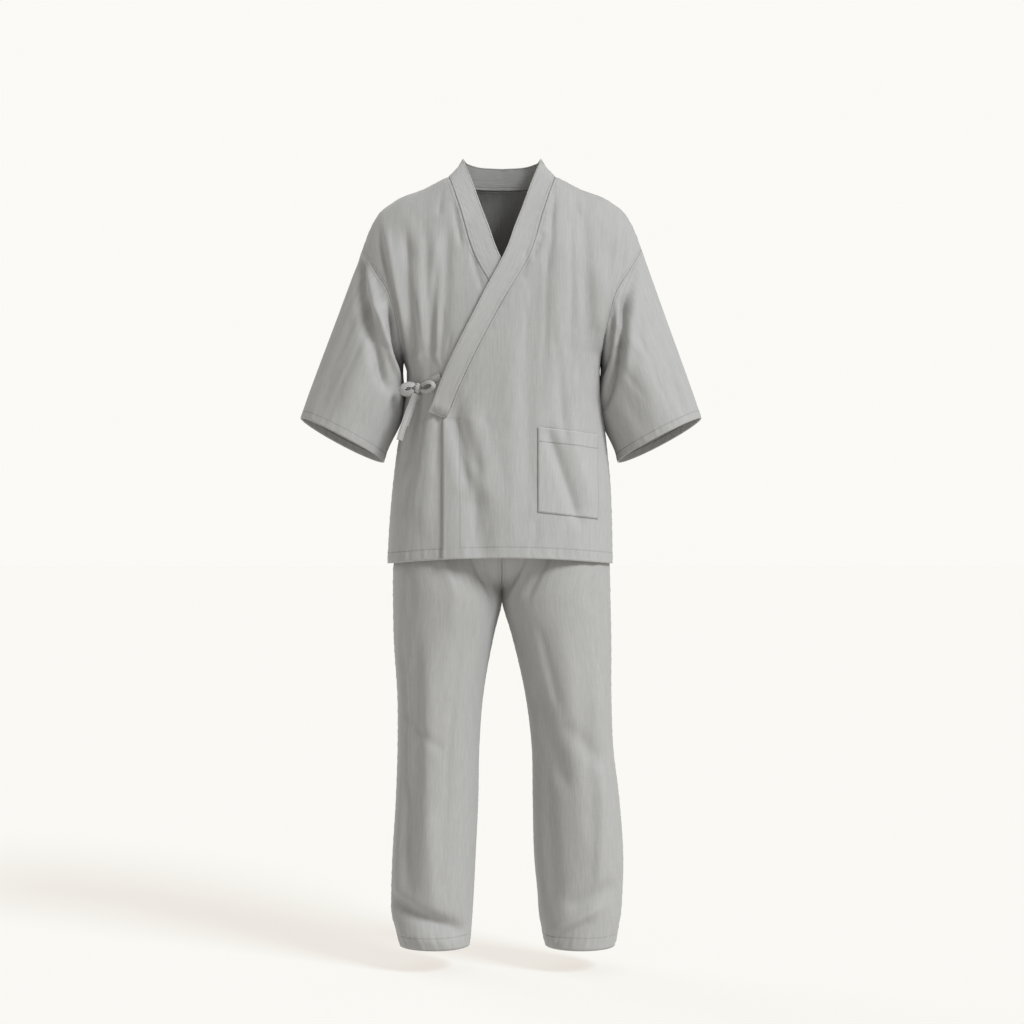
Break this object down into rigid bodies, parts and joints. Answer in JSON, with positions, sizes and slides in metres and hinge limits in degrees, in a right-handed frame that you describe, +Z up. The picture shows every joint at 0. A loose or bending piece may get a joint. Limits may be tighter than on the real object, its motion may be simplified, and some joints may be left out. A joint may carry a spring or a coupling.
{
  "type": "kimono pajama set",
  "caption": "Worn wrap pyjama top with wide sleeves, band collar, side tie bow and patch pocket, with straight trousers, as open hollow cloth",
  "frame": {"origin": "the middle of the neck at the height of the shoulder line, where the set hangs from the wearer's shoulders", "axes": "+Z up along the set's height, -Y the front, +X the wearer's left"},
  "size_m": [0.7576, 0.2747, 1.477],
  "materials": {
    "top_cloth": "matte slubbed cotton weave, light grey",
    "band_cloth": "matte slubbed cotton weave, folded double, light grey",
    "tie_cloth": "matte cotton tape of the same grey cloth",
    "trouser_cloth": "matte slubbed cotton weave, light grey"
  },
  "bodies": {
    "root": {"collar_band": "band_cloth", "pocket": "top_cloth", "sleeve_left": "top_cloth", "sleeve_right": "top_cloth", "tie_knot": "tie_cloth", "tie_loop_inner": "tie_cloth", "tie_loop_outer": "tie_cloth", "tie_tail_behind": "tie_cloth", "tie_tail_front": "tie_cloth", "tie_tape_front": "tie_cloth", "tie_tape_side": "tie_cloth", "top_back": "top_cloth", "top_front_over": "top_cloth", "top_front_under": "top_cloth", "trouser_back_left": "trouser_cloth", "trouser_back_right": "trouser_cloth", "trouser_front_left": "trouser_cloth", "trouser_front_right": "trouser_cloth", "waistband": "trouser_cloth"}
  },
  "joints": []
}
